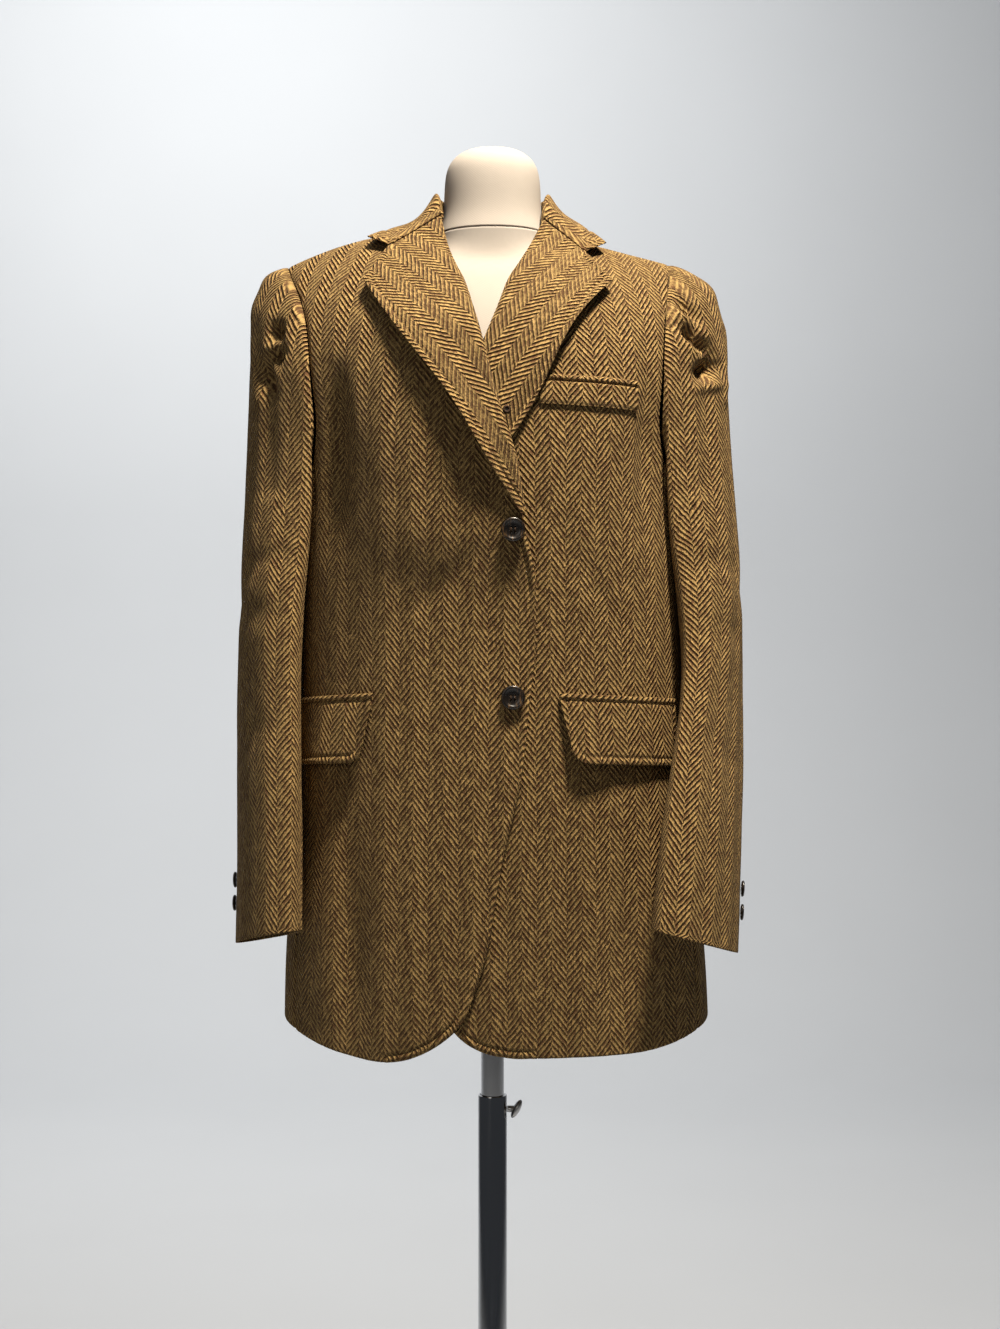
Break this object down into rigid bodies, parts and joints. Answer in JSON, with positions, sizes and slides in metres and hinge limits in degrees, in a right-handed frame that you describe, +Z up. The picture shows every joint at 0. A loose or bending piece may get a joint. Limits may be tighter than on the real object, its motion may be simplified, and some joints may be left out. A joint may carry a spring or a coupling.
{
  "type": "tweed blazer on dress form stand",
  "caption": "Single-breasted herringbone tweed blazer with notch lapels, flap pockets and empty sleeves, on a limbless dress form with a telescoping pole and round foot.",
  "frame": {"origin": "centre of the round foot's underside, on the floor and on the pole's axis", "axes": "+Z up along the pole, -Y the way the jacket's front faces, +X the wearer's left"},
  "size_m": [0.4895, 0.3426, 1.6],
  "materials": {
    "tweed": "napped wool, herringbone weave",
    "horn": "polished horn, dark with amber streaks",
    "linen": "plain woven cover, stretched",
    "chrome": "plated, polished",
    "steel": "satin"
  },
  "bodies": {
    "stand": {"stand_base": "steel", "stand_tube": "chrome"},
    "knob": {"stand_knob": "steel"},
    "rod": {"form_rod": "chrome"},
    "figure": {"form_torso": "linen", "form_neck": "linen", "front_right": "tweed", "front_left": "tweed", "side_right": "tweed", "side_left": "tweed", "back_right": "tweed", "back_left": "tweed", "top_sleeve_right": "tweed", "top_sleeve_left": "tweed", "under_sleeve_right": "tweed", "under_sleeve_left": "tweed", "lapel_right": "tweed", "lapel_left": "tweed", "collar": "tweed", "flap_right": "tweed", "flap_left": "tweed", "jet_right": "tweed", "jet_left": "tweed", "breast_welt": "tweed", "button_upper": "horn", "button_lower": "horn", "cuff_button_right_1": "horn", "cuff_button_right_2": "horn", "cuff_button_left_1": "horn", "cuff_button_left_2": "horn"}
  },
  "joints": [
    {"name": "height_slide", "type": "slide", "parent": "stand", "child": "rod", "axis": [0, 0, 1], "range_m": [-0.1, 0.15]},
    {"name": "figure_swivel", "type": "hinge", "parent": "rod", "child": "figure", "pos_m": [0, 0, 0.86], "axis": [0, 0, 1], "continuous": true},
    {"name": "clamp_turn", "type": "hinge", "parent": "stand", "child": "knob", "pos_m": [0.0143, 0, 0.668], "axis": [1, 0, 0], "range_deg": [0, 360]}
  ]
}
